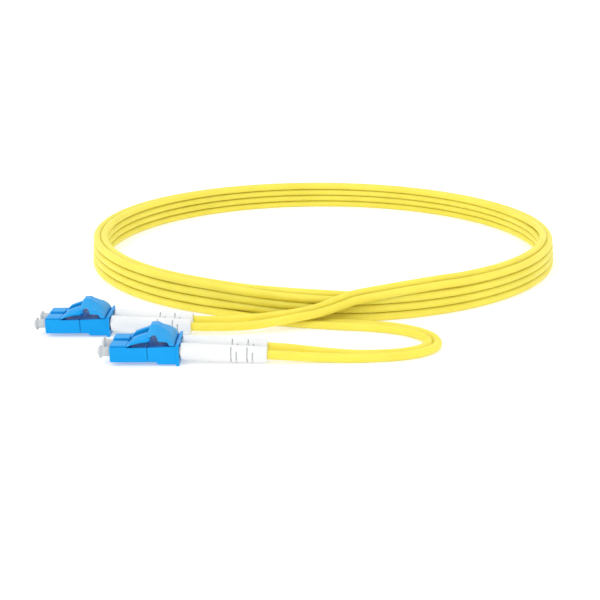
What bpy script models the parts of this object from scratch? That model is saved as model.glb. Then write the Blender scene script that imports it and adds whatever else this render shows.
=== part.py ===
"""Duplex fibre optic patch cord: a two-leg cord in a flat coil, a pair of latched plugs at each end.

Frame: +Z up, the floor is z = 0. The plugs point along -X. The origin lies on the floor, midway
between the two plug pairs. End a is the pair at the back left, end b the pair at the front right.
Plug 1 of each end is the one on the -Y side, plug 2 the one on the +Y side.
"""

import math

import bmesh
import bpy
from mathutils import Vector

MM = 0.001
GAP = 0.3  # clearance between pieces that touch on the real object, in mm

# Driving dimensions, in mm. Plug sizes count from the plug's front face along +X, and from the
# ferrule's axis across and up.
PLUG_PITCH = 6.25
AXIS_HEIGHT = 3.35
END_SHIFT = (11.1, 11.43)  # from the origin to each end's middle, in X and in Y
COIL_CENTRE = (49.8, 99.47)
LEG_DIAMETER = 2.4
LEG_PITCH = LEG_DIAMETER + GAP  # distance between the two legs where they run as one cord
TURNS = 4
COIL_RADIUS = 82.0  # of the outer edge
COIL_HEIGHT = TURNS * LEG_PITCH

CAP_FRONT, CAP_REAR = -3.3, 3.0
BODY_WIDTH = 4.5
BODY_BOTTOM, BODY_TOP = -2.2, 2.25
NOSE_LENGTH = 4.4  # the full height in front; behind it the housing is lower, with the arm above
SHELF_TOP = 1.7
HOUSING_LENGTH = 9.8
CLIP_FRONT, CLIP_REAR = 9.95, 17.3
CLIP_TOP = 2.0
FLANGE_REAR = 18.1
BOOT_FRONT, BOOT_REAR = 18.5, 40.9
BOOT_RADIUS = 2.25
BOOT_DROOP = 0.05  # how much the soft boots sink per mm of their length
JACKET_FRONT = 22.8

FERRULE_RADIUS = 0.625
FIBRE_RADIUS = 0.3
SPRING_RADIUS = 0.94  # of the coil's middle line
SPRING_WIRE = 0.32
SPRING_TURNS = 4
LATCH_PIVOT = (4.6, 2.0)
ARM_REAR = 10.8
ARM_TAIL_TOP = 5.1
ARM_FALL = 0.75  # how much lower the arm's top is at the plug's outer side
TRIGGER_PIVOT = (16.4, 2.15)

ROUND_SEGMENTS = 20
SMALL_SEGMENTS = 12

# The two free stretches of cord, as rows of (x, y, z, split, tilt) in mm and degrees, x and y from
# the coil's centre. Each row is the middle of the pair of legs. Split is how much further apart
# than LEG_PITCH the legs are, tilt how far the left leg is raised, seen in the direction of travel.
TAIL_A = [
    (-38.2, -88.04, 2.22, 3.55, 0),
    (-33.0, -88.00, 2.10, 3.55, 0),
    (-27.0, -87.90, 2.20, 3.40, 2),
    (-21.0, -87.60, 2.55, 2.90, 4),
    (-15.0, -87.25, 3.25, 1.70, 6),
    (-9.0, -86.30, 4.00, 0.70, 8),
    (-4.0, -85.60, 4.80, 0.10, 20),
    (0.5, -84.50, 5.90, 0.00, 30),
    (4.7, -83.50, 7.25, 0.00, 34),
    (10.0, -81.50, 8.20, 0.00, 32),
]
TAIL_B = [
    (-16.3, -110.90, 2.22, 3.55, 0),
    (-11.0, -111.00, 1.90, 3.20, 0),
    (-5.0, -111.40, 1.50, 2.40, 0),
    (1.0, -112.00, 1.28, 1.40, 0),
    (7.0, -112.50, 1.23, 0.60, 0),
    (13.0, -112.20, 1.23, 0.10, 0),
    (19.0, -111.10, 1.23, 0.00, 0),
    (24.0, -108.80, 1.23, 0.00, 0),
    (27.4, -105.40, 1.23, 0.00, 0),
    (28.3, -101.20, 1.23, 0.00, 0),
    (26.9, -96.90, 1.23, 0.00, 0),
    (23.4, -93.00, 1.23, 0.00, 0),
    (18.4, -90.20, 1.23, 0.00, 0),
    (12.0, -88.20, 1.23, 0.00, 0),
    (3.0, -86.70, 1.23, 0.00, 0),
    (-4.0, -85.40, 1.23, 0.00, 0),
    (-9.5, -84.20, 1.23, 0.00, 0),
    (-17.3, -81.50, 1.23, 0.00, 0),
]
TAIL_STEPS = 2  # points made between one row and the next


def material(name, colour, roughness, metallic=0.0):
    made = bpy.data.materials.new(name)
    made.use_nodes = True
    shader = made.node_tree.nodes["Principled BSDF"]
    shader.inputs["Base Color"].default_value = (*colour, 1.0)
    shader.inputs["Roughness"].default_value = roughness
    shader.inputs["Metallic"].default_value = metallic
    return made


def mesh_from(name, bm):
    """A mesh from bm, with faces pointing out and round stretches shaded smooth."""
    bmesh.ops.recalc_face_normals(bm, faces=bm.faces)
    mesh = bpy.data.meshes.new(name)
    bm.to_mesh(mesh)
    bm.free()
    mesh.shade_smooth()
    mesh.set_sharp_from_angle(angle=math.radians(35))
    return mesh


def add_object(name, mesh, finish, place=(0.0, 0.0, 0.0)):
    """An object of that mesh, with its place given in mm."""
    made = bpy.data.objects.new(name, mesh)
    made.location = Vector(place) * MM
    if not mesh.materials:
        mesh.materials.append(finish)
    bpy.context.collection.objects.link(made)
    return made


def prism(name, outline, low, high):
    """A solid with the side view outline, points (x, z), from y = low to y = high."""
    bm = bmesh.new()
    near = [bm.verts.new((x * MM, low * MM, z * MM)) for x, z in outline]
    face = bm.faces.new(near)
    far = bmesh.ops.extrude_face_region(bm, geom=[face])["geom"]
    moved = [v for v in far if isinstance(v, bmesh.types.BMVert)]
    bmesh.ops.translate(bm, verts=moved, vec=(0, (high - low) * MM, 0))
    return mesh_from(name, bm)


def lofted(name, sections):
    """A solid through sections across the plug, each a pair of x and a closed outline of (y, z)."""
    bm = bmesh.new()
    rings = []
    for x, outline in sections:
        rings.append([bm.verts.new((x * MM, y * MM, z * MM)) for y, z in outline])
    count = len(rings[0])
    for a, b in zip(rings, rings[1:]):
        for i in range(count):
            j = (i + 1) % count
            bm.faces.new((a[i], a[j], b[j], b[i]))
    bm.faces.new(rings[0])
    bm.faces.new(rings[-1])
    return mesh_from(name, bm)


def turned(name, profile, segments, centre=(0.0, 0.0), hollow=True):
    """A solid turned about the plug's axis. The profile is points (x, radius); a hollow one is a
    closed outline, a solid one starts and ends on the axis."""
    bm = bmesh.new()
    rings = []
    for x, radius in profile:
        if radius == 0:
            rings.append([bm.verts.new((x * MM, centre[0] * MM, centre[1] * MM))])
            continue
        ring = []
        for i in range(segments):
            turn = math.tau * (i + 0.5) / segments
            y = centre[0] + radius * math.cos(turn)
            z = centre[1] + radius * math.sin(turn)
            ring.append(bm.verts.new((x * MM, y * MM, z * MM)))
        rings.append(ring)
    pairs = list(zip(rings, rings[1:]))
    if hollow:
        pairs.append((rings[-1], rings[0]))
    for a, b in pairs:
        for i in range(segments):
            j = (i + 1) % segments
            corners = [a[i % len(a)], a[j % len(a)], b[j % len(b)], b[i % len(b)]]
            bm.faces.new(list(dict.fromkeys(corners)))
    return mesh_from(name, bm)


def carve(name, mesh, cutters, operation="DIFFERENCE"):
    """The mesh with each cutter mesh taken away (or joined, or kept in common)."""
    body = bpy.data.objects.new(name, mesh)
    bpy.context.collection.objects.link(body)
    helpers = []
    for cutter in cutters:
        helper = bpy.data.objects.new(name + "_cutter", cutter)
        bpy.context.collection.objects.link(helper)
        helper.hide_render = True
        helper.display_type = "WIRE"
        helpers.append(helper)
        change = body.modifiers.new("carve", "BOOLEAN")
        change.operation = operation
        change.solver = "EXACT"
        change.object = helper
    graph = bpy.context.evaluated_depsgraph_get()
    result = bpy.data.meshes.new_from_object(body.evaluated_get(graph))
    result.name = name
    for used in [body, *helpers]:
        bpy.data.objects.remove(used)
    result.shade_smooth()
    result.set_sharp_from_angle(angle=math.radians(35))
    return result


def housing_mesh(side):
    """Square nose with a round front opening, an inner wall for the ferrule and a rear chamber. The
    side is -1 or 1, the way the plug's outer side faces."""
    half = BODY_WIDTH / 2
    sections = []
    for x, inset in ((0.0, 0.4), (0.12, 0.15), (0.4, 0.0), (HOUSING_LENGTH, 0.0)):
        outer, top, bottom = half - inset, BODY_TOP - inset, BODY_BOTTOM + inset
        outline = [
            (outer, bottom),
            (outer, top - 0.45),
            (outer - 0.35, top - 0.12),
            (outer - 0.9, top),
            (-outer + 0.3, top),
            (-outer, top - 0.3),
            (-outer, bottom),
        ]
        sections.append((x, [(side * y, z) for y, z in outline]))
    block = lofted("housing_block", sections)
    over = 3.0
    shelf_outline = [
        (NOSE_LENGTH, SHELF_TOP),
        (HOUSING_LENGTH + 1.0, SHELF_TOP + 0.05),
        (HOUSING_LENGTH + 1.0, BODY_TOP + over),
        (NOSE_LENGTH, BODY_TOP + over),
    ]
    shelf = prism("shelf", shelf_outline, -over, over)
    opening_radius, wall_hole, chamber_radius = 1.5, 0.95, 1.35
    wall_front, wall_rear = 4.4, 5.2
    bore = [
        (-1.0, 0.0),
        (-1.0, opening_radius),
        (wall_front, opening_radius),
        (wall_front, wall_hole),
        (wall_rear, wall_hole),
        (wall_rear, chamber_radius),
        (HOUSING_LENGTH + 1.0, chamber_radius),
        (HOUSING_LENGTH + 1.0, 0.0),
    ]
    hollow = turned("bore", bore, ROUND_SEGMENTS, hollow=False)
    return carve("plug_housing", block, [shelf, hollow])


def latch_mesh(side):
    """Springy arm that rises from behind the nose over the shelf, measured from its own pivot. Its
    top falls away towards the plug's outer side, and its tail lies under the trigger's lip."""
    px, pz = LATCH_PIVOT
    # Stations along X: (x, underside, top, fall of the top towards the outer side).
    stations = [
        (NOSE_LENGTH + 0.08, 1.84, 2.25, 0.12),
        (4.9, 1.98, 2.33, 0.15),
        (5.35, 2.2, 2.85, 0.3),
        (5.9, 2.45, 3.55, 0.5),
        (7.0, 2.8, 4.05, 0.65),
        (8.2, 3.1, 4.45, ARM_FALL),
        (9.2, 3.22, ARM_TAIL_TOP - 0.3, ARM_FALL),
        (9.9, 3.3, ARM_TAIL_TOP - 0.1, ARM_FALL),
        (ARM_REAR - 0.4, 3.55, ARM_TAIL_TOP, ARM_FALL),
        (ARM_REAR, 3.95, ARM_TAIL_TOP, ARM_FALL),
    ]
    outer, inner = BODY_WIDTH / 2 - 0.02, -1.25
    sections = []
    for x, low, high, fall in stations:
        outline = [
            (inner, low),
            (outer, low),
            (outer, high - fall),
            (0.2, high),
            (inner + 0.15, high),
            (inner, high - 0.12),
        ]
        sections.append((x - px, [(side * y, z - pz) for y, z in outline]))
    return lofted("latch_arm", sections)


def trigger_mesh():
    """Hood over both latch arms: a narrow ridge with sides that slope out to the clip's width, a
    lip that lies on the arms' tails, and an arch cut below it from side to side. Measured from its
    own pivot."""
    px, pz = TRIGGER_PIVOT
    # Stations along X: (x, ridge height, half width of the ridge, shoulder height, edge height).
    stations = [
        (10.1, 5.6, 1.3, 5.45, 4.65),
        (10.4, 6.4, 1.3, 5.6, 4.72),
        (10.8, 6.8, 1.3, 5.7, 4.75),
        (12.4, 6.8, 1.35, 5.75, 4.75),
        (13.15, 6.25, 1.5, 5.5, 4.6),
        (13.9, 5.95, 1.6, 5.25, 4.5),
        (14.7, 5.55, 1.7, 5.0, 4.35),
        (15.45, 5.0, 1.9, 4.55, 3.95),
        (16.2, 4.15, 2.2, 3.85, 3.4),
        (16.7, 3.25, 2.4, 3.05, 2.8),
        (16.95, 2.6, 2.6, 2.5, 2.4),
    ]
    base, half, shoulder_at = 2.15, 5.3, 3.3
    sections = []
    for x, ridge, ridge_half, shoulder, edge in stations:
        left = [(half, base), (half, edge), (shoulder_at, shoulder), (ridge_half, ridge)]
        outline = [*left, *((-y, z) for y, z in reversed(left))]
        sections.append((x - px, [(y, z - pz) for y, z in outline]))
    hood = lofted("hood", sections)

    lip = ARM_TAIL_TOP + 0.12
    slope = ARM_FALL / (BODY_WIDTH / 2 - 0.2)
    wide = 7.0
    tunnel_left = [(wide, 1.0), (wide, lip - slope * (wide - shoulder_at)), (shoulder_at, lip)]
    tunnel_outline = [*tunnel_left, *((-y, z) for y, z in reversed(tunnel_left))]
    tunnel = lofted(
        "tunnel", [(x - px, [(y, z - pz) for y, z in tunnel_outline]) for x in (9.0, 12.1)]
    )
    arch = [
        (10.5, 1.0),
        (10.5, 4.2),
        (10.95, 4.6),
        (11.3, 4.9),
        (11.8, 5.02),
        (12.3, 4.9),
        (12.65, 4.5),
        (12.8, 3.7),
        (12.95, 3.4),
        (14.9, 3.25),
        (15.3, 3.05),
        (15.5, 2.7),
        (15.55, 2.45),
        (16.1, 2.15),
        (16.1, 1.0),
    ]
    cut = prism("arch", [(x - px, z - pz) for x, z in arch], -wide, wide)
    return carve("trigger", hood, [tunnel, cut])


def clip_mesh():
    """Block behind the two housings, bored for their rear bodies, with a flange plate."""
    half = PLUG_PITCH / 2 + BODY_WIDTH / 2
    step = 12.1
    underside = BODY_BOTTOM - 0.65
    outline = [
        (CLIP_FRONT, BODY_BOTTOM),
        (step, BODY_BOTTOM),
        (step + 0.5, underside),
        (CLIP_REAR + 0.3, underside),
        (CLIP_REAR + 0.3, CLIP_TOP),
        (15.2, CLIP_TOP),
        (CLIP_FRONT, SHELF_TOP + 0.05),
    ]
    block = prism("clip_block", outline, -half, half)
    plate_outline = [
        (CLIP_REAR, -AXIS_HEIGHT + 0.2),
        (CLIP_REAR + 0.2, -AXIS_HEIGHT),
        (FLANGE_REAR, -AXIS_HEIGHT),
        (FLANGE_REAR, 2.6),
        (CLIP_REAR + 0.25, 2.6),
        (CLIP_REAR, 2.35),
    ]
    plate = prism("clip_flange", plate_outline, -half - 0.1, half + 0.1)
    solid = carve("clip_solid", block, [plate], "UNION")
    bores = []
    for side in (-1, 1):
        profile = [
            (CLIP_FRONT - 1.0, 0.0),
            (CLIP_FRONT - 1.0, 1.65),
            (FLANGE_REAR + 1.0, 1.65),
            (FLANGE_REAR + 1.0, 0.0),
        ]
        centre = (side * PLUG_PITCH / 2, 0.0)
        bores.append(turned("clip_bore", profile, ROUND_SEGMENTS, centre, hollow=False))
    return carve("duplex_clip", solid, bores)


def ferrule_mesh():
    tip, rear, chamfer = -2.0, 6.1, 0.2
    profile = [
        (tip, 0.0),
        (tip, FERRULE_RADIUS - chamfer),
        (tip + chamfer, FERRULE_RADIUS),
        (rear, FERRULE_RADIUS),
        (rear, 0.0),
    ]
    return turned("ferrule", profile, SMALL_SEGMENTS, hollow=False)


def holder_mesh():
    """Cup around the ferrule's rear end, a flange for the spring and a stem inside it."""
    pocket = FERRULE_RADIUS + GAP
    profile = [
        (6.4, 0.0),
        (6.4, pocket),
        (5.5, pocket),
        (5.5, 1.15),
        (6.6, 1.15),
        (6.6, 0.6),
        (9.5, 0.6),
        (9.5, 0.0),
    ]
    return turned("ferrule_holder", profile, SMALL_SEGMENTS, hollow=False)


def spring_mesh():
    """Round wire wound between the holder's flange and the spring stop."""
    start, end = 6.6 + GAP + SPRING_WIRE / 2, 10.1 - GAP - SPRING_WIRE / 2
    per_turn, sides = 8, 5
    steps = SPRING_TURNS * per_turn
    wire = SPRING_WIRE / 2
    bm = bmesh.new()
    rings = []
    for i in range(steps + 1):
        turn = math.tau * i / per_turn
        out = Vector((0.0, math.cos(turn), math.sin(turn)))
        middle = out * SPRING_RADIUS + Vector((start + (end - start) * i / steps, 0, 0))
        ring = []
        for k in range(sides):
            around = math.tau * k / sides
            point = middle + out * (wire * math.cos(around))
            point = point + Vector((wire * math.sin(around), 0, 0))
            ring.append(bm.verts.new(point * MM))
        rings.append(ring)
    for a, b in zip(rings, rings[1:]):
        for k in range(sides):
            m = (k + 1) % sides
            bm.faces.new((a[k], a[m], b[m], b[k]))
    bm.faces.new(rings[0])
    bm.faces.new(rings[-1])
    return mesh_from("ferrule_spring", bm)


def stop_mesh():
    """Rear body that closes the spring's chamber and carries the crimp stem."""
    profile = [
        (10.1, 0.95),
        (10.1, 1.4),
        (16.4, 1.4),
        (16.7, 0.9),
        (22.2, 0.9),
        (22.2, 0.6),
        (11.4, 0.6),
        (11.4, 0.95),
    ]
    return turned("spring_stop", profile, SMALL_SEGMENTS)


def sleeve_mesh():
    profile = [(17.2, 1.15), (17.2, 1.4), (22.4, 1.4), (22.4, 1.15)]
    return turned("crimp_sleeve", profile, SMALL_SEGMENTS)


def fibre_mesh():
    end = JACKET_FRONT - GAP
    profile = [(10.9, 0.0), (10.9, FIBRE_RADIUS), (end, FIBRE_RADIUS), (end, 0.0)]
    return turned("buffered_fibre", profile, 8, hollow=False)


def boot_mesh():
    """Soft tube, wide inside over the crimp sleeve, with bend slits towards its rear: across both
    sides, and across the lower half. It sinks a little along its length."""
    inner_front, inner_rear = 1.75, LEG_DIAMETER / 2 + GAP
    profile = [
        (BOOT_FRONT, inner_front),
        (BOOT_FRONT, BOOT_RADIUS),
        (30.0, BOOT_RADIUS),
        (BOOT_REAR - 0.5, BOOT_RADIUS - 0.05),
        (BOOT_REAR, BOOT_RADIUS - 0.4),
        (BOOT_REAR, inner_rear),
        (23.6, inner_rear),
        (23.0, inner_front),
    ]
    tube = turned("boot_tube", profile, ROUND_SEGMENTS)
    slit, far = 0.3, 3.0
    side_low, side_high = -1.6, 1.6
    slits = []
    for x in (31.4, 35.6):
        outline = [(x, side_low), (x + slit, side_low), (x + slit, side_high), (x, side_high)]
        slits.append(prism("slit", outline, -far, -1.2))
        slits.append(prism("slit", outline, 1.2, far))
    for x in (32.8, 37.0):
        outline = [(x, -far), (x + slit, -far), (x + slit, -0.1), (x, -0.1)]
        slits.append(prism("slit", outline, -far, far))
    made = carve("boot", tube, slits)
    for corner in made.vertices:
        corner.co.z -= (corner.co.x - BOOT_FRONT * MM) * BOOT_DROOP
    return made


def cap_mesh():
    """Soft cap over the ferrule's tip: a neck that enters the housing and a flared rim."""
    inner = FERRULE_RADIUS + GAP
    neck = 1.2
    profile = [
        (-2.3, 0.0),
        (-2.3, inner),
        (CAP_REAR, inner),
        (CAP_REAR, neck),
        (-2.4, neck),
        (-2.5, 1.8),
        (CAP_FRONT, 1.8),
        (CAP_FRONT, 0.0),
    ]
    return turned("dust_cap", profile, ROUND_SEGMENTS, hollow=False)


def coil_mesh():
    """The coil's outer shape: a turned ring two legs thick, with rounded corners."""
    outer, inner = COIL_RADIUS, COIL_RADIUS - 2 * LEG_DIAMETER
    bevel = 0.7
    section = [
        (outer - bevel, 0.0),
        (outer, bevel),
        (outer, COIL_HEIGHT - bevel),
        (outer - bevel, COIL_HEIGHT),
        (inner + bevel, COIL_HEIGHT),
        (inner, COIL_HEIGHT - bevel),
        (inner, bevel),
        (inner + bevel, 0.0),
    ]
    segments = 64
    bm = bmesh.new()
    rings = []
    for i in range(segments):
        turn = math.tau * i / segments
        ring = [
            bm.verts.new((r * math.cos(turn) * MM, r * math.sin(turn) * MM, z * MM))
            for r, z in section
        ]
        rings.append(ring)
    count = len(section)
    for i in range(segments):
        a, b = rings[i], rings[(i + 1) % segments]
        for k in range(count):
            m = (k + 1) % count
            bm.faces.new((a[k], b[k], b[m], a[m]))
    return mesh_from("cord_coil", bm)


def smooth_through(points, steps):
    """Points on a smooth curve through the given ones (a Catmull-Rom spline)."""
    ends = [2 * points[0] - points[1], *points, 2 * points[-1] - points[-2]]
    made = []
    for a, b, c, d in zip(ends, ends[1:], ends[2:], ends[3:]):
        for i in range(steps):
            t = i / steps
            made.append(
                0.5
                * (
                    2 * b
                    + (c - a) * t
                    + (2 * a - 5 * b + 4 * c - d) * t**2
                    + (3 * b - a - 3 * c + d) * t**3
                )
            )
    made.append(points[-1])
    return made


def leg_route(rows, side, jacket_start):
    """One leg's middle line in mm: side is -1 for the right leg and 1 for the left leg."""
    middles = [Vector((x + COIL_CENTRE[0], y + COIL_CENTRE[1], z)) for x, y, z, _, _ in rows]
    points = [jacket_start]
    for i, (_, _, _, split, tilt) in enumerate(rows):
        ahead = middles[min(i + 1, len(rows) - 1)] - middles[max(i - 1, 0)]
        if i == 0:
            ahead = Vector((1.0, 0.0, 0.0))
        left = Vector((-ahead.y, ahead.x, 0.0)).normalized()
        lean = math.radians(tilt)
        across = left * math.cos(lean) + Vector((0.0, 0.0, math.sin(lean)))
        points.append(middles[i] + across * (side * (LEG_PITCH + split) / 2))
    return smooth_through(points, TAIL_STEPS)


def clear_of_coil(points):
    """The route up to where the leg would meet the coil's ring."""
    centre = Vector((*COIL_CENTRE, 0.0))
    reach = COIL_RADIUS + LEG_DIAMETER / 2 + GAP
    kept = []
    for point in points:
        if (Vector((point.x, point.y, 0.0)) - centre).length < reach:
            break
        kept.append(point)
    return kept


def tail_object(name, points, finish):
    """A round tube along the points."""
    curve = bpy.data.curves.new(name, "CURVE")
    curve.dimensions = "3D"
    curve.bevel_depth = LEG_DIAMETER / 2 * MM
    curve.bevel_resolution = 2
    curve.use_fill_caps = True
    line = curve.splines.new("POLY")
    line.points.add(len(points) - 1)
    for made, point in zip(line.points, points):
        made.co = (*(point * MM), 1.0)
    curve.materials.append(finish)
    made = bpy.data.objects.new(name, curve)
    bpy.context.collection.objects.link(made)
    return made


def build():
    for old in list(bpy.data.objects):
        bpy.data.objects.remove(old)

    blue = material("blue_plastic", (0.02, 0.33, 0.72), 0.35)
    trigger_blue = material("trigger_blue", (0.03, 0.36, 0.75), 0.35)
    white_rubber = material("boot_white", (0.86, 0.87, 0.86), 0.6)
    cap_plastic = material("cap_plastic", (0.70, 0.72, 0.70), 0.5)
    ceramic = material("ceramic_white", (0.90, 0.90, 0.86), 0.25)
    steel = material("spring_steel", (0.60, 0.60, 0.62), 0.3, 1.0)
    nickel = material("nickel", (0.72, 0.70, 0.65), 0.3, 1.0)
    jacket = material("yellow_jacket", (0.90, 0.74, 0.08), 0.55)
    coating = material("fibre_coating", (0.80, 0.82, 0.84), 0.4)

    plug_pieces = [
        ("ferrule", ferrule_mesh(), ceramic, (0.0, 0.0)),
        ("ferrule_holder", holder_mesh(), nickel, (0.0, 0.0)),
        ("ferrule_spring", spring_mesh(), steel, (0.0, 0.0)),
        ("spring_stop", stop_mesh(), nickel, (0.0, 0.0)),
        ("crimp_sleeve", sleeve_mesh(), nickel, (0.0, 0.0)),
        ("buffered_fibre", fibre_mesh(), coating, (0.0, 0.0)),
        ("boot", boot_mesh(), white_rubber, (0.0, 0.0)),
        ("dust_cap", cap_mesh(), cap_plastic, (0.0, 0.0)),
    ]
    sided_pieces = {
        side: [
            ("plug_housing", housing_mesh(side), blue, (0.0, 0.0)),
            ("latch_arm", latch_mesh(side), blue, LATCH_PIVOT),
        ]
        for side in (-1, 1)
    }
    clip = clip_mesh()
    trigger = trigger_mesh()

    # An end's middle is halfway from the cap's front to the boot's rear.
    front_to_middle = (CAP_FRONT + BOOT_REAR) / 2
    for end, direction, rows in (("a", -1, TAIL_A), ("b", 1, TAIL_B)):
        front = direction * END_SHIFT[0] - front_to_middle
        middle_y = -direction * END_SHIFT[1]
        add_object("duplex_clip_" + end, clip, blue, (front, middle_y, AXIS_HEIGHT))
        place = (front + TRIGGER_PIVOT[0], middle_y, AXIS_HEIGHT + TRIGGER_PIVOT[1])
        add_object("trigger_" + end, trigger, trigger_blue, place)
        for number, side in ((1, -1), (2, 1)):
            axis_y = middle_y + side * PLUG_PITCH / 2
            for name, mesh, finish, (dx, dz) in sided_pieces[side] + plug_pieces:
                place = (front + dx, axis_y, AXIS_HEIGHT + dz)
                add_object(f"{name}_{end}{number}", mesh, finish, place)
            sunk = (JACKET_FRONT - BOOT_FRONT) * BOOT_DROOP
            jacket_start = Vector((front + JACKET_FRONT, axis_y, AXIS_HEIGHT - sunk))
            route = clear_of_coil(leg_route(rows, side, jacket_start))
            tail_object(f"cord_tail_{end}{number}", route, jacket)

    add_object("cord_coil", coil_mesh(), jacket, (*COIL_CENTRE, 0.0))


build()
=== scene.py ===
"""Looks of the duplex fibre patch cord: a yellow two-leg cord in a flat coil, with a pair of plugs
at each end. Lengths are in mm unless a name or a comment says otherwise."""

import math

import bmesh
import bpy
from mathutils import Matrix, Vector


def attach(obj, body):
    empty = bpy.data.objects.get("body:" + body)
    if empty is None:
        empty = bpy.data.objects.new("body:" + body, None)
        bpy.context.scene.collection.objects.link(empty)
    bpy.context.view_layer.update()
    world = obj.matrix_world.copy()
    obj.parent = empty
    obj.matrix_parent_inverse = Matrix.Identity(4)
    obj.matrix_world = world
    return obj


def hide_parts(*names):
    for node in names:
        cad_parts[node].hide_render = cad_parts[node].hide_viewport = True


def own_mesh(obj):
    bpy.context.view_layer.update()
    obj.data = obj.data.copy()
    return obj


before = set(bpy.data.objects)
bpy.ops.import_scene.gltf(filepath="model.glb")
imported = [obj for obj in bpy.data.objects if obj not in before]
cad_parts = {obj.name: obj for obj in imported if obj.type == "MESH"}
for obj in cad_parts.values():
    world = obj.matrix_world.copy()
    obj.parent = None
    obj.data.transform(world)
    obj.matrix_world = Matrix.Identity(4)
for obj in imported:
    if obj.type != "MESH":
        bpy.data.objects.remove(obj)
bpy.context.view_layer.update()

MM = 0.001
COIL_CENTRE = Vector((49.8, 99.47, 0.0))
LEG_DIAMETER = 2.4
LEG_PITCH = 2.36  # between the two legs where they run as one cord
PLUG_PITCH = 6.25
AXIS_HEIGHT = 3.35
END_SHIFT = (11.1, 11.43)
CAP_FRONT, CAP_REAR = -3.3, 3.0
BOOT_FRONT, BOOT_REAR, BOOT_RADIUS = 18.5, 40.9, 2.25
SPRING_FRONT, SPRING_REAR = 6.9, 9.8
SPRING_RADIUS, SPRING_WIRE, SPRING_TURNS = 0.94, 0.32, 4
BOOT_DROOP = 0.05  # how much the soft boots sink per mm of their length
ENDS = {"a": -1, "b": 1}
ROOT = "cord_and_plugs"


def end_front(end):
    """Where the plugs' front faces and the middle between them are, in mm."""
    direction = ENDS[end]
    front = direction * END_SHIFT[0] - (CAP_FRONT + BOOT_REAR) / 2
    return Vector((front, -direction * END_SHIFT[1], AXIS_HEIGHT))


# ---------------------------------------------------------------- camera

CAMERA_PLACE = Vector((43.11, -264.31, 95.86))
CAMERA_YAW, CAMERA_PITCH, CAMERA_ROLL = -0.0049, math.radians(17.475), -0.0055
LENS, SENSOR = 61.14, 36.0


def make_camera():
    yaw, pitch, roll = CAMERA_YAW, CAMERA_PITCH, CAMERA_ROLL
    ahead = Vector(
        (math.sin(yaw) * math.cos(pitch), math.cos(yaw) * math.cos(pitch), -math.sin(pitch))
    )
    right = Vector((math.cos(yaw), -math.sin(yaw), 0.0))
    up = right.cross(ahead)
    across = right * math.cos(roll) + up * math.sin(roll)
    upward = up * math.cos(roll) - right * math.sin(roll)
    data = bpy.data.cameras.new("camera")
    data.sensor_width = SENSOR
    data.lens = LENS
    data.clip_start, data.clip_end = 0.01, 20.0
    camera = bpy.data.objects.new("camera", data)
    turn = Matrix((across, upward, -ahead)).transposed().to_4x4()
    camera.matrix_world = Matrix.Translation(CAMERA_PLACE * MM) @ turn
    bpy.context.collection.objects.link(camera)
    bpy.context.scene.camera = camera


# ---------------------------------------------------------------- materials


def new_material(name):
    made = bpy.data.materials.new(name)
    made.use_nodes = True
    return made, made.node_tree, made.node_tree.nodes["Principled BSDF"]


def mixed_colour(tree, low, high, factor):
    """A colour that runs from low to high with the factor socket."""
    mix = tree.nodes.new("ShaderNodeMix")
    mix.data_type = "RGBA"
    mix.inputs["A"].default_value = (*low, 1.0)
    mix.inputs["B"].default_value = (*high, 1.0)
    tree.links.new(factor, mix.inputs["Factor"])
    return mix.outputs["Result"]


def noise(tree, scale, detail=3.0, stretch=(1.0, 1.0, 1.0), spread=(0.3, 0.7)):
    """Noise in the object's own space, spread over 0 to 1."""
    place = tree.nodes.new("ShaderNodeTexCoord")
    mapping = tree.nodes.new("ShaderNodeMapping")
    mapping.inputs["Scale"].default_value = stretch
    made = tree.nodes.new("ShaderNodeTexNoise")
    made.inputs["Scale"].default_value = scale
    made.inputs["Detail"].default_value = detail
    spread_out = tree.nodes.new("ShaderNodeMapRange")
    spread_out.inputs["From Min"].default_value = spread[0]
    spread_out.inputs["From Max"].default_value = spread[1]
    tree.links.new(place.outputs["Object"], mapping.inputs["Vector"])
    tree.links.new(mapping.outputs["Vector"], made.inputs["Vector"])
    tree.links.new(made.outputs["Fac"], spread_out.inputs["Value"])
    return spread_out.outputs["Result"]


def vary_roughness(tree, shader, low, high, factor):
    span = tree.nodes.new("ShaderNodeMapRange")
    span.inputs["To Min"].default_value = low
    span.inputs["To Max"].default_value = high
    tree.links.new(factor, span.inputs["Value"])
    tree.links.new(span.outputs["Result"], shader.inputs["Roughness"])


def add_bump(tree, shader, height, strength, distance):
    bump = tree.nodes.new("ShaderNodeBump")
    bump.inputs["Strength"].default_value = strength
    bump.inputs["Distance"].default_value = distance
    tree.links.new(height, bump.inputs["Height"])
    tree.links.new(bump.outputs["Normal"], shader.inputs["Normal"])


def finish_of(name, low, high, patch, grain, rough, bump=0.15, metallic=0.0, shine=0.5, tint=None):
    """A moulded, extruded or plated finish: soft colour patches, fine grain and uneven shine. The
    patch and grain are noise scales per metre, rough the least and most roughness."""
    made, tree, shader = new_material(name)
    patches = noise(tree, patch)
    tree.links.new(mixed_colour(tree, low, high, patches), shader.inputs["Base Color"])
    fine = noise(tree, grain, detail=4.0)
    vary_roughness(tree, shader, *rough, fine)
    add_bump(tree, shader, fine, bump, 0.00004)
    shader.inputs["Metallic"].default_value = metallic
    shader.inputs["Specular IOR Level"].default_value = shine
    if tint:
        shader.inputs["Specular Tint"].default_value = (*tint, 1.0)
    return made, tree, shader


def soften(shader, weight, spread, reach):
    """Light that scatters a little way under the surface, as far as reach in mm."""
    shader.inputs["Subsurface Weight"].default_value = weight
    shader.inputs["Subsurface Radius"].default_value = spread
    shader.inputs["Subsurface Scale"].default_value = reach * MM


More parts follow.
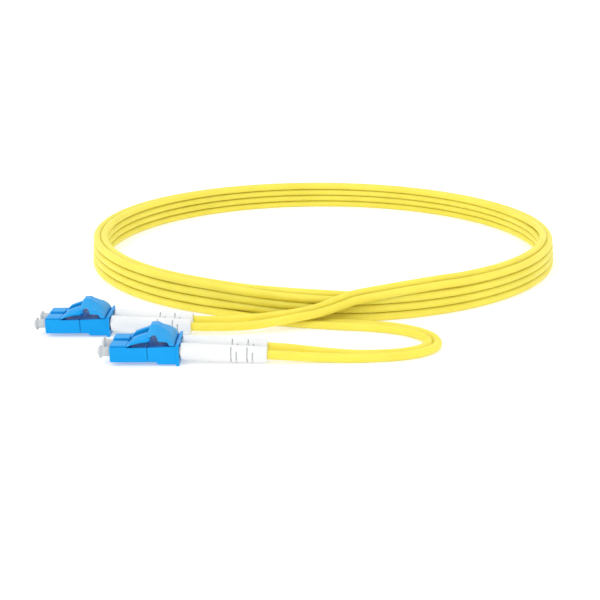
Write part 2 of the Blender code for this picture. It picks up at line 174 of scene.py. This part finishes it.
def paint_recess_shade(tree, shader, low, high, colour):
    """Painted shade: a deeper colour on the faces that look up between two heights in mm, in the
    slot under the latch arms and the trigger, where their shadow falls."""
    place = tree.nodes.new("ShaderNodeTexCoord")
    split = tree.nodes.new("ShaderNodeSeparateXYZ")
    tree.links.new(place.outputs["Object"], split.inputs["Vector"])
    facing = tree.nodes.new("ShaderNodeSeparateXYZ")
    tree.links.new(place.outputs["Normal"], facing.inputs["Vector"])
    steps = [(split.outputs["Z"], low * MM, (low + 0.05) * MM)]
    steps.append((split.outputs["Z"], high * MM, (high - 0.05) * MM))
    steps.append((facing.outputs["Z"], 0.5, 0.8))
    painted_shade_mask = None
    for value, start, end in steps:
        step = tree.nodes.new("ShaderNodeMapRange")
        step.inputs["From Min"].default_value = start
        step.inputs["From Max"].default_value = end
        tree.links.new(value, step.inputs["Value"])
        if painted_shade_mask is None:
            painted_shade_mask = step.outputs["Result"]
            continue
        both = tree.nodes.new("ShaderNodeMath")
        both.operation = "MULTIPLY"
        tree.links.new(painted_shade_mask, both.inputs[0])
        tree.links.new(step.outputs["Result"], both.inputs[1])
        painted_shade_mask = both.outputs["Value"]
    # mix the painted shade colour in where the mask is
    mix = tree.nodes.new("ShaderNodeMix")
    mix.data_type = "RGBA"
    plain = shader.inputs["Base Color"].links[0].from_socket
    tree.links.new(painted_shade_mask, mix.inputs["Factor"])
    tree.links.new(plain, mix.inputs["A"])
    mix.inputs["B"].default_value = (*colour, 1.0)
    tree.links.new(mix.outputs["Result"], shader.inputs["Base Color"])


def make_finishes():
    """Every finish by the start of the names of the pieces that wear it."""
    blue_tint = (0.25, 0.65, 1.0)
    yellow = finish_of(
        "jacket", (0.78, 0.67, 0.08), (0.84, 0.725, 0.10), 90, 2600, (0.42, 0.6), 0.25, shine=0.35
    )
    body = finish_of(
        "blue_plastic", (0.006, 0.30, 0.72), (0.010, 0.33, 0.77), 160, 5200, (0.30, 0.44),
        shine=0.25, tint=blue_tint,
    )
    # the trigger's blue plastic as a paler, greyer copy: painted sheen for the light its upper faces
    # reflect; its slightly higher shine is real
    hood_painted_sheen = finish_of(
        "hood_plastic_painted_sheen", (0.022, 0.31, 0.70), (0.030, 0.34, 0.74), 160, 5200, (0.32, 0.48),
        shine=0.3, tint=blue_tint,
    )
    boot = finish_of(
        "boot_rubber", (0.76, 0.77, 0.77), (0.81, 0.82, 0.82), 120, 3800, (0.5, 0.66), 0.2,
        shine=0.3,
    )
    cap = finish_of("cap_plastic", (0.72, 0.74, 0.73), (0.80, 0.82, 0.81), 200, 4500, (0.28, 0.42))
    cap[2].inputs["Transmission Weight"].default_value = 0.35
    ceramic = finish_of(
        "ceramic", (0.86, 0.86, 0.81), (0.90, 0.90, 0.86), 500, 9000, (0.12, 0.2), 0.05
    )
    nickel = finish_of(
        "nickel", (0.66, 0.64, 0.58), (0.74, 0.72, 0.67), 400, 7000, (0.22, 0.36), 0.1, 1.0
    )
    steel = finish_of(
        "spring_steel", (0.52, 0.52, 0.54), (0.62, 0.62, 0.64), 600, 7000, (0.24, 0.36), 0.1, 1.0
    )
    coating = finish_of(
        "fibre_coating", (0.76, 0.78, 0.80), (0.84, 0.86, 0.88), 400, 6000, (0.2, 0.3), 0.05
    )
    # painted shade in the slot under the latch arms and the trigger, on the blue plastic's upward
    # faces
    paint_recess_shade(body[1], body[2], 4.9, 5.47, (0.001, 0.15, 0.46))
    soften(yellow[2], 0.8, (1.0, 0.85, 0.3), 2.4)
    soften(boot[2], 0.2, (0.8, 0.8, 0.8), 1.0)
    worn = {
        "cord": yellow,
        "plug_housing": body,
        "latch_arm": body,
        "duplex_clip": body,
        "trigger": hood_painted_sheen,
        "boot": boot,
        "dust_cap": cap,
        "ferrule_holder": nickel,
        "ferrule_spring": steel,
        "ferrule": ceramic,
        "spring_stop": nickel,
        "crimp_sleeve": nickel,
        "buffered_fibre": coating,
    }
    return {name: parts[0] for name, parts in worn.items()}


# ---------------------------------------------------------------- the plugs

EDGE = {"plug_housing": 0.1, "latch_arm": 0.09, "trigger": 0.16, "duplex_clip": 0.12}


def dress_cad_nodes(finishes):
    """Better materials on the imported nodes, and rounded edges on the moulded ones."""
    for name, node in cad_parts.items():
        kind = name.rsplit("_", 1)[0]
        if kind not in finishes:
            continue
        for place in node.material_slots:
            place.link = "OBJECT"
            place.material = finishes[kind]
        if kind not in EDGE:
            continue
        weld = node.modifiers.new("weld", "WELD")
        weld.merge_threshold = 0.00001
        flat = node.modifiers.new("flat", "DECIMATE")
        flat.decimate_type = "DISSOLVE"
        flat.angle_limit = math.radians(1.0)
        bevel = node.modifiers.new("edges", "BEVEL")
        bevel.width = EDGE[kind] * MM
        bevel.segments = 2
        bevel.limit_method = "ANGLE"
        bevel.angle_limit = math.radians(32)
        shade = node.modifiers.new("shade", "WEIGHTED_NORMAL")
        shade.keep_sharp = True
        shade.weight = 90


def turned(name, profile, segments, finish, place):
    """A piece turned about the plug's axis, from a closed outline of (x, radius)."""
    bm = bmesh.new()
    rings = []
    for x, radius in profile:
        ring = []
        for i in range(segments if radius > 0 else 1):
            turn = math.tau * i / segments
            y, z = radius * math.cos(turn), radius * math.sin(turn)
            ring.append(bm.verts.new((place + Vector((x, y, z))) * MM))
        rings.append(ring)
    pairs = list(zip(rings, rings[1:]))
    if len(rings[0]) > 1:
        pairs.append((rings[-1], rings[0]))
    for a, b in pairs:
        for i in range(segments):
            j = (i + 1) % segments
            corners = [a[i % len(a)], a[j % len(a)], b[j % len(b)], b[i % len(b)]]
            bm.faces.new(list(dict.fromkeys(corners)))
    bmesh.ops.recalc_face_normals(bm, faces=bm.faces)
    mesh = bpy.data.meshes.new(name)
    bm.to_mesh(mesh)
    bm.free()
    mesh.shade_smooth()
    mesh.set_sharp_from_angle(angle=math.radians(40))
    mesh.materials.append(finish)
    made = bpy.data.objects.new(name, mesh)
    bpy.context.collection.objects.link(made)
    return made


def arc(centre, radius, start, end, steps):
    """Points (x, radius) round a corner of a profile, from start to end in degrees."""
    made = []
    for i in range(steps + 1):
        turn = math.radians(lerp(start, end, i / steps))
        made.append((centre[0] + radius * math.cos(turn), centre[1] + radius * math.sin(turn)))
    return made


def lerp(a, b, t):
    return a + (b - a) * t


# The boot's bend slits: x, and where each starts and ends round the boot, in degrees from +Y.
SLIT_WIDTH, SLIT_FLOOR = 0.34, 1.62  # the floor's distance from the boot's axis
BOOT_SLITS = [
    (31.4, -70, 70),
    (31.4, 110, 250),
    (35.6, -70, 70),
    (35.6, 110, 250),
    (32.8, -212, 32),
    (37.0, -212, 32),
]


def add_sector(bm, front, rear, inner, outer, low, high):
    """A piece of a flat ring across the plug's axis, between two angles in degrees."""
    steps = max(2, round((high - low) / 9))
    rings = []
    for i in range(steps + 1):
        turn = math.radians(lerp(low, high, i / steps))
        corners = [(front, inner), (rear, inner), (rear, outer), (front, outer)]
        ring = [(x, r * math.cos(turn), r * math.sin(turn)) for x, r in corners]
        rings.append([bm.verts.new(Vector(corner) * MM) for corner in ring])
    for a, b in zip(rings, rings[1:]):
        for k in range(4):
            m = (k + 1) % 4
            bm.faces.new((a[k], a[m], b[m], b[k]))
    bm.faces.new(rings[0])
    bm.faces.new(rings[-1])


def make_boot(name, finish, place):
    """Soft strain relief with rounded ends and narrow bend slits, by turns across both sides and
    across the lower half."""
    hole = 1.3
    front, rear, radius = BOOT_FRONT, BOOT_REAR, BOOT_RADIUS
    profile = [
        (front, 1.75),
        *arc((front + 0.2, radius - 0.2), 0.2, 180, 90, 3),
        (24.0, radius),
        (30.5, radius - 0.02),
        (36.5, radius - 0.04),
        *arc((rear - 0.45, radius - 0.5), 0.45, 90, 0, 4),
        *arc((rear - 0.15, hole + 0.15), 0.15, 0, -90, 2),
        (24.0, hole),
        (23.2, 1.75),
    ]
    tube = turned(name, profile, 40, finish, Vector((0.0, 0.0, 0.0)))
    bm = bmesh.new()
    for x, low, high in BOOT_SLITS:
        add_sector(bm, x, x + SLIT_WIDTH, SLIT_FLOOR, BOOT_RADIUS + 0.35, low, high)
    bmesh.ops.recalc_face_normals(bm, faces=bm.faces)
    cutter_mesh = bpy.data.meshes.new("slits")
    bm.to_mesh(cutter_mesh)
    bm.free()
    cutter = bpy.data.objects.new("slits", cutter_mesh)
    bpy.context.collection.objects.link(cutter)
    cut = tube.modifiers.new("slits", "BOOLEAN")
    cut.operation = "DIFFERENCE"
    cut.solver = "EXACT"
    cut.object = cutter
    graph = bpy.context.evaluated_depsgraph_get()
    mesh = bpy.data.meshes.new_from_object(tube.evaluated_get(graph))
    tube.modifiers.clear()
    bpy.data.objects.remove(cutter)
    tube.data = mesh
    for corner in mesh.vertices:
        corner.co.z -= (corner.co.x - front * MM) * BOOT_DROOP
        corner.co += place * MM
    mesh.set_sharp_from_angle(angle=math.radians(40))
    return tube


def make_cap(name, finish, place):
    """Soft dust cap: a straight neck in the plug's mouth and a flared, dished rim."""
    neck, rim, inner = 1.22, 1.8, 0.9
    profile = [
        (-2.45, 0.0),
        (-2.45, inner - 0.1),
        (-2.35, inner),
        (CAP_REAR, inner),
        (CAP_REAR, neck - 0.1),
        (CAP_REAR - 0.1, neck),
        (-1.9, neck),
        (-2.2, neck + 0.06),
        (-2.4, neck + 0.24),
        *arc((-2.6, rim - 0.18), 0.18, 20, 180, 5),
        (-3.0, rim - 0.5),
        (CAP_FRONT + 0.12, rim - 0.62),
        (CAP_FRONT, rim - 0.75),
        (CAP_FRONT, 0.0),
    ]
    return turned(name, profile, 36, finish, place)


def make_spring(name, finish, place):
    """Drawn wire wound behind the ferrule's holder."""
    start, end = SPRING_FRONT + SPRING_WIRE / 2, SPRING_REAR - SPRING_WIRE / 2
    per_turn, sides = 20, 8
    steps = SPRING_TURNS * per_turn
    bm = bmesh.new()
    rings = []
    for i in range(steps + 1):
        turn = math.tau * i / per_turn
        out = Vector((0.0, math.cos(turn), math.sin(turn)))
        middle = place + out * SPRING_RADIUS + Vector((lerp(start, end, i / steps), 0.0, 0.0))
        ring = []
        for k in range(sides):
            around = math.tau * k / sides
            aside = out * math.cos(around) + Vector((math.sin(around), 0.0, 0.0))
            ring.append(bm.verts.new((middle + aside * SPRING_WIRE / 2) * MM))
        rings.append(ring)
    for a, b in zip(rings, rings[1:]):
        for k in range(sides):
            m = (k + 1) % sides
            bm.faces.new((a[k], a[m], b[m], b[k]))
    bm.faces.new(rings[0])
    bm.faces.new(rings[-1])
    bmesh.ops.recalc_face_normals(bm, faces=bm.faces)
    mesh = bpy.data.meshes.new(name)
    bm.to_mesh(mesh)
    bm.free()
    mesh.shade_smooth()
    mesh.set_sharp_from_angle(angle=math.radians(60))
    mesh.materials.append(finish)
    made = bpy.data.objects.new(name, mesh)
    bpy.context.collection.objects.link(made)
    return made


def make_plug_pieces(finishes):
    """New boots, dust caps and springs. Returns the boots and caps by the plug they belong to."""
    made = {}
    for end in ENDS:
        for number, side in ((1, -1), (2, 1)):
            plug = f"{end}{number}"
            place = end_front(end) + Vector((0.0, side * PLUG_PITCH / 2, 0.0))
            boot = make_boot(f"soft_boot_{plug}", finishes["boot"], place)
            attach(boot, ROOT)
            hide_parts(f"boot_{plug}")
            cap = make_cap(f"rimmed_cap_{plug}", finishes["dust_cap"], place)
            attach(cap, f"cap_{plug}")
            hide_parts(f"dust_cap_{plug}")
            spring = make_spring(f"wound_spring_{plug}", finishes["ferrule_spring"], place)
            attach(spring, ROOT)
            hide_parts(f"ferrule_spring_{plug}")
            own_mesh(spring)
            made[plug] = [boot, cap]
    return made


# ---------------------------------------------------------------- cord

# The free stretches: rows of (x, y, z, split, tilt) in mm and degrees, from the coil's centre.
TAIL_A = [
    (-38.2, -88.04, 2.22, 3.55, 0),
    (-33.0, -88.00, 2.10, 3.55, 0),
    (-27.0, -87.90, 2.20, 3.40, 2),
    (-21.0, -87.60, 2.55, 2.90, 4),
    (-15.0, -87.25, 3.25, 1.70, 6),
    (-9.0, -86.30, 4.00, 0.70, 8),
    (-4.0, -85.60, 4.80, 0.10, 20),
    (0.5, -84.50, 5.90, 0.00, 30),
    (4.7, -83.50, 7.25, 0.00, 34),
    (10.0, -81.50, 8.20, 0.00, 32),
]
TAIL_B = [
    (-16.3, -110.90, 2.22, 3.55, 0),
    (-11.0, -111.00, 1.90, 3.20, 0),
    (-5.0, -111.40, 1.50, 2.40, 0),
    (1.0, -112.00, 1.28, 1.40, 0),
    (7.0, -112.50, 1.23, 0.60, 0),
    (13.0, -112.20, 1.23, 0.10, 0),
    (19.0, -111.10, 1.23, 0.00, 0),
    (24.0, -108.80, 1.23, 0.00, 0),
    (27.4, -105.40, 1.23, 0.00, 0),
    (28.3, -101.20, 1.23, 0.00, 0),
    (26.9, -96.90, 1.23, 0.00, 0),
    (23.4, -93.00, 1.23, 0.00, 0),
    (18.4, -90.20, 1.23, 0.00, 0),
    (12.0, -88.20, 1.23, 0.00, 0),
    (3.0, -86.70, 1.23, 0.00, 0),
    (-4.0, -85.40, 1.23, 0.00, 0),
    (-9.5, -84.20, 1.23, 0.00, 0),
    (-17.3, -81.50, 1.23, 0.00, 0),
]
PLUG_SPLIT = 3.55  # the split of the rows where the legs lie as far apart as the plugs
JACKET_FRONT = 22.8
COIL_RADIUS = 79.6  # of the middle between the two legs
TURNS = 4
COIL_STEP = 8.0  # degrees between the coil's route points
COIL_START = -83.0  # degrees round the coil where end a's stretch meets it
COIL_FROM, COIL_SHORT = 16.0, 32.0  # degrees the route leaves out of the turns, at the start and end
TURN_PITCH_RIGHT, TURN_PITCH_LEFT = 2.38, 2.72  # height of each level
ARRIVAL_LIFT, ARRIVAL_TILT = 0.75, 32.0  # of the end that comes in last, which lies on the rest
ARRIVAL_FROM, ARRIVAL_SPAN = -20.0, 42.0  # degrees round the coil where that lift fades
# Where each turn drops to the level below, in degrees round the coil: start and span.
DROPS = [(238.0, 42.0), (242.0, 38.0), (246.0, 34.0)]
# Where the first turn rolls inwards: middle, span and tilt in degrees, and lift.
ROLL_AT, ROLL_SPAN, ROLL_TILT, ROLL_LIFT = 268.0, 14.0, 30.0, 0.6
FLOOR_LEVEL = 1.23


def ease(t):
    t = min(max(t, 0.0), 1.0)
    return t * t * (3 - 2 * t)


def coil_row(travelled):
    """The coil's route row after some degrees of turning from the right of the front. Each turn
    lies on the next, and drops a level where it passes the front."""
    angle = COIL_START + travelled
    level = float(TURNS)
    for turn, (start, span) in enumerate(DROPS):
        level -= ease((angle - 360.0 * turn - start) / span)
    loose = 0.5 - 0.5 * math.cos(math.radians(angle))  # 0 at the right, 1 at the left
    pitch = lerp(TURN_PITCH_RIGHT, TURN_PITCH_LEFT, loose)
    raised = 1 - ease((angle - ARRIVAL_FROM) / ARRIVAL_SPAN)
    rolled = math.exp(-(((angle - ROLL_AT) / ROLL_SPAN) ** 2))
    height = FLOOR_LEVEL + 0.07 * loose + pitch * (level - 1)
    height += ARRIVAL_LIFT * raised + ROLL_LIFT * rolled
    bulge = 0.2 * abs(math.cos(math.radians(angle)))  # of each lower level, at the coil's sides
    radius = COIL_RADIUS + 0.3 * loose + bulge * (TURNS - level)
    x = radius * math.cos(math.radians(angle))
    y = radius * math.sin(math.radians(angle))
    return (x, y, height, 0.0, ARRIVAL_TILT * raised + ROLL_TILT * rolled)


def pair_rows():
    """The whole route of the pair, from end a's boots to end b's."""
    rows = list(TAIL_A)
    travelled = COIL_FROM
    while travelled <= TURNS * 360.0 - COIL_SHORT:
        rows.append(coil_row(travelled))
        travelled += COIL_STEP
    for x, y, z, split, tilt in reversed(TAIL_B):
        rows.append((x, y, z, split, -tilt))
    return rows


def smooth_through(points, step):
    """Points about step apart on a smooth curve through the given ones (a Catmull-Rom spline)."""
    ends = [2 * points[0] - points[1], *points, 2 * points[-1] - points[-2]]
    made = []
    for a, b, c, d in zip(ends, ends[1:], ends[2:], ends[3:]):
        count = max(1, round((c - b).length / step))
        for i in range(count):
            t = i / count
            made.append(
                0.5
                * (
                    2 * b
                    + (c - a) * t
                    + (2 * a - 5 * b + 4 * c - d) * t**2
                    + (3 * b - a - 3 * c + d) * t**3
                )
            )
    made.append(points[-1])
    return made


def leg_points(rows, side):
    """One leg's route, from its jacket's end in one plug to the other. Side -1 is the right leg."""
    middles = [COIL_CENTRE + Vector(row[:3]) for row in rows]
    points = []
    for i, row in enumerate(rows):
        ahead = middles[min(i + 1, len(rows) - 1)] - middles[max(i - 1, 0)]
        if i == 0:
            ahead = Vector((1.0, 0.0, 0.0))
        if i == len(rows) - 1:
            ahead = Vector((-1.0, 0.0, 0.0))
        left = Vector((-ahead.y, ahead.x, 0.0)).normalized()
        lean = math.radians(row[4])
        across = left * math.cos(lean) + Vector((0.0, 0.0, math.sin(lean)))
        spread = LEG_PITCH + row[3] / PLUG_SPLIT * (PLUG_PITCH - LEG_PITCH)
        points.append(middles[i] + across * (side * spread / 2))
    sunk = (JACKET_FRONT - BOOT_FRONT) * BOOT_DROOP
    first = end_front("a") + Vector((JACKET_FRONT, side * PLUG_PITCH / 2, -sunk))
    last = end_front("b") + Vector((JACKET_FRONT, -side * PLUG_PITCH / 2, -sunk))
    return [first, *points, last]


def fullness(point):
    """How much thicker than LEG_DIAMETER a leg is made, so that its many-sided tube measures right.
    It is a little thicker still at the coil's left, where the turns are wider apart."""
    out = point - COIL_CENTRE
    in_coil = ease((87.0 - math.hypot(out.x, out.y)) / 4.0)
    return 1.025 + 0.06 * in_coil * (0.5 - 0.5 * out.x / COIL_RADIUS)


def tube(name, points, diameter, finish):
    curve = bpy.data.curves.new(name, "CURVE")
    curve.dimensions = "3D"
    curve.bevel_depth = diameter / 2 * MM
    curve.bevel_resolution = 4
    curve.use_fill_caps = True
    line = curve.splines.new("POLY")
    line.points.add(len(points) - 1)
    for made, point in zip(line.points, points):
        made.co = (*(point * MM), 1.0)
        made.radius = fullness(point)
    line.use_smooth = True
    curve.materials.append(finish)
    made = bpy.data.objects.new(name, curve)
    bpy.context.collection.objects.link(made)
    return made


def make_cords(finish, plug_pieces):
    rows = pair_rows()
    for name, side, near, far in (("leg_outer", -1, "a1", "b2"), ("leg_inner", 1, "a2", "b1")):
        route = smooth_through(leg_points(rows, side), 1.6)
        leg = tube(name, route, LEG_DIAMETER, finish)
        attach(leg, ROOT)
        replaced = [f"cord_tail_{near}", f"cord_tail_{far}"]
        if side < 0:
            replaced.append("cord_coil")
        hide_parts(*replaced)
        plug = [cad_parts[f"{piece}_{far}"] for piece in ("plug_housing", "latch_arm")]
        plug += plug_pieces[far]


# ---------------------------------------------------------------- stage and light


def make_stage():
    bm = bmesh.new()
    half = 8.0
    corners = [(-half, -half), (half, -half), (half, half), (-half, half)]
    bm.faces.new([bm.verts.new((x, y, 0.0)) for x, y in corners])
    mesh = bpy.data.meshes.new("floor")
    bm.to_mesh(mesh)
    bm.free()
    floor = bpy.data.objects.new("floor", mesh)
    made, tree, shader = new_material("floor")
    shader.inputs["Base Color"].default_value = (0.8, 0.8, 0.8, 1.0)
    shader.inputs["Roughness"].default_value = 0.9
    shader.inputs["Emission Color"].default_value = (1.0, 1.0, 1.0, 1.0)
    shader.inputs["Emission Strength"].default_value = 0.32
    mesh.materials.append(made)
    bpy.context.collection.objects.link(floor)


def make_light():
    world = bpy.data.worlds.new("studio")
    world.use_nodes = True
    back = world.node_tree.nodes["Background"]
    back.inputs["Color"].default_value = (1.0, 1.0, 1.0, 1.0)
    back.inputs["Strength"].default_value = 1.06
    bpy.context.scene.world = world
    place = Vector((-0.5, -0.7, 1.2))
    data = bpy.data.lights.new("key", "AREA")
    data.size = 1.0
    data.energy = 5.0
    lamp = bpy.data.objects.new("key", data)
    lamp.location = place
    aim = Vector((0.04, 0.05, 0.0)) - place
    lamp.rotation_euler = aim.to_track_quat("-Z", "Y").to_euler()
    bpy.context.collection.objects.link(lamp)


make_camera()
finishes = make_finishes()
dress_cad_nodes(finishes)
make_cords(finishes["cord"], make_plug_pieces(finishes))
make_stage()
make_light()
bpy.context.scene.view_settings.view_transform = "Standard"

bpy.context.view_layer.update()
